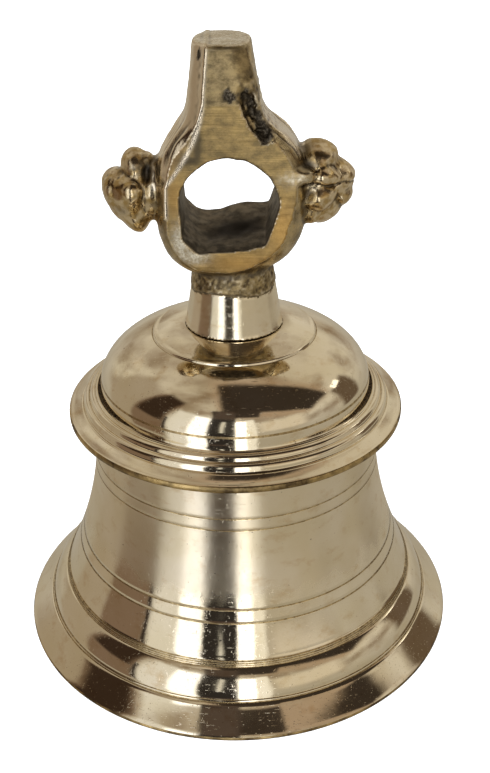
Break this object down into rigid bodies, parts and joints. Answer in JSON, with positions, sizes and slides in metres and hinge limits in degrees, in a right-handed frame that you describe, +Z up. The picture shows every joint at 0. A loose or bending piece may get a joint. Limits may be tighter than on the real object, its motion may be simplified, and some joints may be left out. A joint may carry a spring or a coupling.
{
  "type": "temple bell",
  "caption": "Hanging bell with a flared turned shell, flanged shoulder and dome, cast crown loop with side knobs and top post, and a linked inner clapper.",
  "frame": {"origin": "centre of the lip's underside, where the bell's axis meets the surface that it stands on", "axes": "+Z up along the bell's axis to the post; -Y out of the crown loop's front ground face, so the hook's hole runs along Y; +X to the right"},
  "size_m": [0.152, 0.152, 0.2009],
  "materials": {
    "polished_bell_bronze": "lathe turned and buffed to a mirror, satin on the waist",
    "cast_bell_bronze": "rough sand cast, front and rear faces ground flat, pits left dark",
    "zinc_plated_steel": "dull zinc plate",
    "bright_steel": "drawn wire, lightly oiled",
    "black_iron": "forged and oil blacked"
  },
  "bodies": {
    "root": {"bell_shell": "polished_bell_bronze", "crown_loop": "cast_bell_bronze", "crown_eye_bolt": "zinc_plated_steel", "crown_washer": "zinc_plated_steel", "crown_lock_washer": "zinc_plated_steel", "crown_nut": "zinc_plated_steel"},
    "link": {"clapper_link": "bright_steel"},
    "clapper": {"clapper_rod": "black_iron", "clapper_ball": "black_iron", "clapper_end_nut": "bright_steel"}
  },
  "joints": [
    {"name": "link_swing", "type": "hinge", "parent": "root", "child": "link", "pos_m": [0, 0, 0.0782], "axis": [1, 0, 0], "range_deg": [-38, 38]},
    {"name": "clapper_swing", "type": "hinge", "parent": "link", "child": "clapper", "pos_m": [0, 0, 0.0671], "axis": [0, 1, 0], "range_deg": [-20, 20]}
  ]
}
